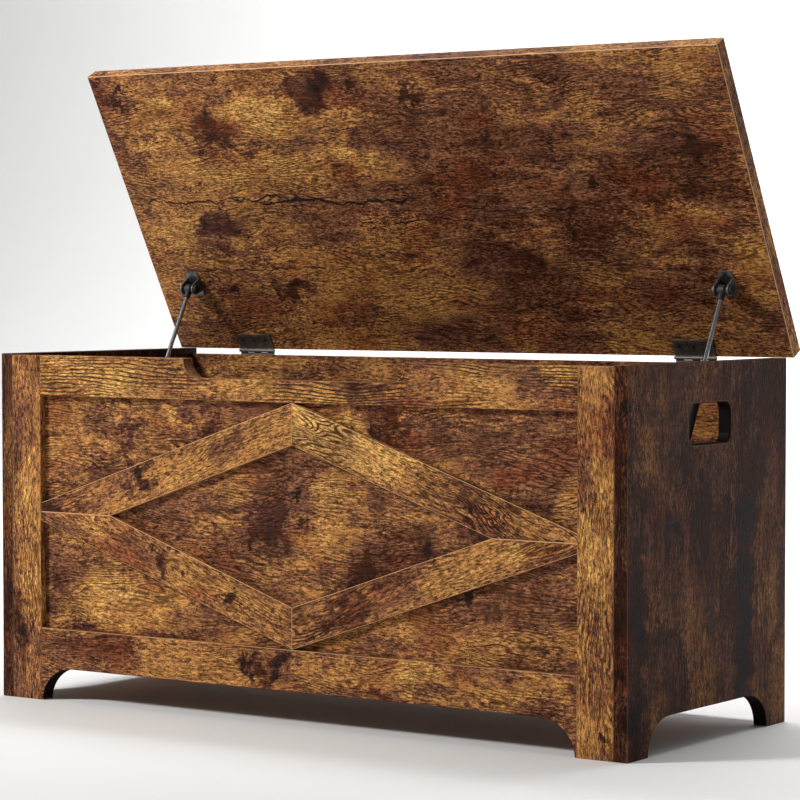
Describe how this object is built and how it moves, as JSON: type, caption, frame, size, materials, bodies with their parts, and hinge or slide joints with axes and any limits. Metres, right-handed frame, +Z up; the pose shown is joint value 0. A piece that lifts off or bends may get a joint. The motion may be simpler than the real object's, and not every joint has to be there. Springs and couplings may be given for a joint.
{
  "type": "toy box",
  "caption": "Rustic wood toy chest: hinged lid on gas stays, panelled front with a diamond of battens, finger notch, side hand holes and arched feet.",
  "frame": {"origin": "on the floor, at the centre of the space the box takes up with its lid open; the middle of the body's own footprint is 9 mm in front of it", "axes": "+Z up, -Y towards the front with the diamond, +X towards the right-hand side as seen from the front"},
  "size_m": [1.001, 0.414, 0.8573],
  "materials": {
    "lid_wood": "wood-grain laminate, satin",
    "frame_wood": "wood-grain laminate, satin",
    "panel_wood": "wood-grain laminate, satin",
    "batten_wood": "wood-grain laminate, satin",
    "side_wood": "wood-grain laminate, satin",
    "inner_wood": "wood-grain laminate, satin",
    "dowel_wood": "turned beech, raw",
    "hinge_metal": "dark bronze paint, semi-matt",
    "bracket_metal": "black paint, semi-matt",
    "stay_tube_metal": "black paint, gloss",
    "stay_rod_steel": "hard chrome, polished",
    "stay_eye_plastic": "black nylon",
    "pin_steel": "zinc plated",
    "screw_steel": "black zinc",
    "cam_zinc": "die-cast zinc, dull"
  },
  "bodies": {
    "box": {"back_panel": "inner_wood", "cam_bolts": "cam_zinc", "cam_locks": "cam_zinc", "diamond_screws": "screw_steel", "floor_batten": "inner_wood", "floor_batten_screws": "screw_steel", "floor_dowels": "dowel_wood", "floor_panel": "inner_wood", "frame_dowels": "dowel_wood", "front_bottom_rail": "frame_wood", "front_panel": "panel_wood", "front_top_rail": "frame_wood", "hinge_body_screws": "screw_steel", "left_front_stile": "frame_wood", "left_hinge_body_leaf": "hinge_metal", "left_hinge_pin": "hinge_metal", "left_side_panel": "side_wood", "left_stay_side_bracket": "bracket_metal", "left_stay_side_pin": "pin_steel", "lower_left_batten": "batten_wood", "lower_right_batten": "batten_wood", "right_front_stile": "frame_wood", "right_hinge_body_leaf": "hinge_metal", "right_hinge_pin": "hinge_metal", "right_side_panel": "side_wood", "right_stay_side_bracket": "bracket_metal", "right_stay_side_pin": "pin_steel", "side_dowels": "dowel_wood", "stay_side_screws": "screw_steel", "upper_left_batten": "batten_wood", "upper_right_batten": "batten_wood"},
    "lid": {"lid_board": "lid_wood", "left_hinge_lid_leaf": "hinge_metal", "right_hinge_lid_leaf": "hinge_metal", "hinge_lid_screws": "screw_steel", "left_stay_lid_clevis": "bracket_metal", "right_stay_lid_clevis": "bracket_metal", "left_stay_pivot_heads": "stay_eye_plastic", "right_stay_pivot_heads": "stay_eye_plastic", "stay_lid_screws": "screw_steel"},
    "left_stay_tube": {"left_stay_cylinder": "stay_tube_metal", "left_stay_cylinder_eye": "stay_eye_plastic", "left_stay_gland": "stay_eye_plastic"},
    "left_stay_plunger": {"left_stay_rod": "stay_rod_steel", "left_stay_piston": "stay_eye_plastic", "left_stay_rod_eye": "stay_eye_plastic", "left_stay_rod_pin": "pin_steel"},
    "right_stay_tube": {"right_stay_cylinder": "stay_tube_metal", "right_stay_cylinder_eye": "stay_eye_plastic", "right_stay_gland": "stay_eye_plastic"},
    "right_stay_plunger": {"right_stay_rod": "stay_rod_steel", "right_stay_piston": "stay_eye_plastic", "right_stay_rod_eye": "stay_eye_plastic", "right_stay_rod_pin": "pin_steel"}
  },
  "joints": [
    {"name": "lid_hinge", "type": "hinge", "parent": "box", "child": "lid", "pos_m": [0, 0.18749, 0.4627], "axis": [-1, 0, 0], "range_deg": [-61.6, 0]},
    {"name": "left_stay_swing", "type": "hinge", "parent": "box", "child": "left_stay_tube", "pos_m": [-0.4325, -0.00961, 0.29398], "axis": [-1, 0, 0], "range_deg": [-0.01, 2.36]},
    {"name": "left_stay_slide", "type": "slide", "parent": "left_stay_tube", "child": "left_stay_plunger", "axis": [0, 0.4633, 0.8862], "range_m": [-0.11054, 0.00001]},
    {"name": "right_stay_swing", "type": "hinge", "parent": "box", "child": "right_stay_tube", "pos_m": [0.4325, -0.00961, 0.29398], "axis": [-1, 0, 0], "range_deg": [-0.01, 2.36]},
    {"name": "right_stay_slide", "type": "slide", "parent": "right_stay_tube", "child": "right_stay_plunger", "axis": [0, 0.4633, 0.8862], "range_m": [-0.11054, 0.00001]}
  ],
  "couplings": [
    {"joint": "left_stay_swing", "follows": "lid_hinge", "ratio": -0.038109},
    {"joint": "left_stay_slide", "follows": "lid_hinge", "m_per_rad": 0.1028},
    {"joint": "right_stay_swing", "follows": "lid_hinge", "ratio": -0.038109},
    {"joint": "right_stay_slide", "follows": "lid_hinge", "m_per_rad": 0.1028}
  ]
}
